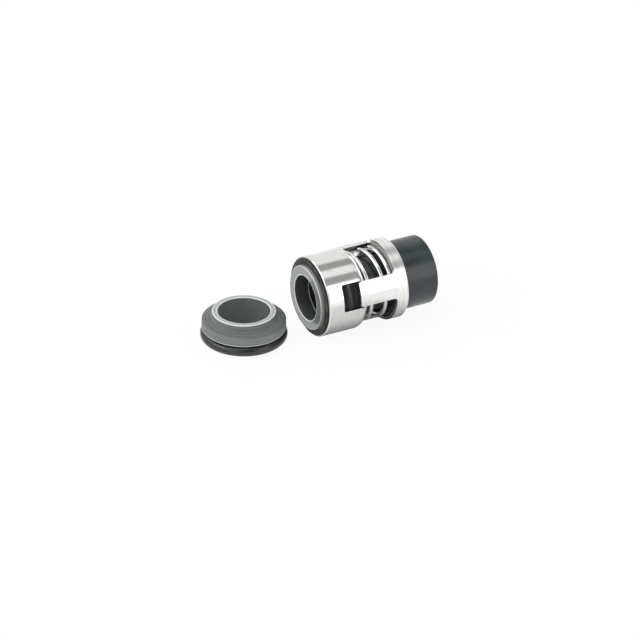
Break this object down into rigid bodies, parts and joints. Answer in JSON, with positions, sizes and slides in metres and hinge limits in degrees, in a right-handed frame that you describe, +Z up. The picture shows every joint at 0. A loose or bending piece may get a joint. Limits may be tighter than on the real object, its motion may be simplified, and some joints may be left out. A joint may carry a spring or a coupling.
{
  "type": "component mechanical seal",
  "caption": "Rubber bellows shaft seal: spring-loaded rotating head in a slotted stainless shell, driven by a tanged band, with its stationary seat and O-ring lying beside it",
  "frame": {"origin": "on the floor, below the middle of the pair's bounding box", "axes": "+X along the head's axis from its lapped face to its tail, +Z up, the seat standing flat on its back on the -X side"},
  "size_m": [0.0636, 0.029, 0.0223],
  "materials": {
    "carbide": "lapped faces, fine-ground sides",
    "stainless": "bright, drawn sheet",
    "spring_wire": "bright drawn wire",
    "rubber": "moulded, satin",
    "tail_rubber": "moulded, satin"
  },
  "bodies": {
    "tail_side": {"drive_band": "stainless", "bellows_tail": "tail_rubber", "coil_spring": "spring_wire", "seat_ring": "carbide", "seat_o_ring": "rubber"},
    "face_side": {"retainer_shell": "stainless", "face_ring": "carbide", "bellows_head": "rubber"}
  },
  "joints": [
    {"name": "face_travel", "type": "slide", "parent": "tail_side", "child": "face_side", "axis": [1, 0, 0], "range_m": [0, 0.0048], "stiffness_N_per_m": 1900, "deforming": ["coil_spring"]}
  ]
}
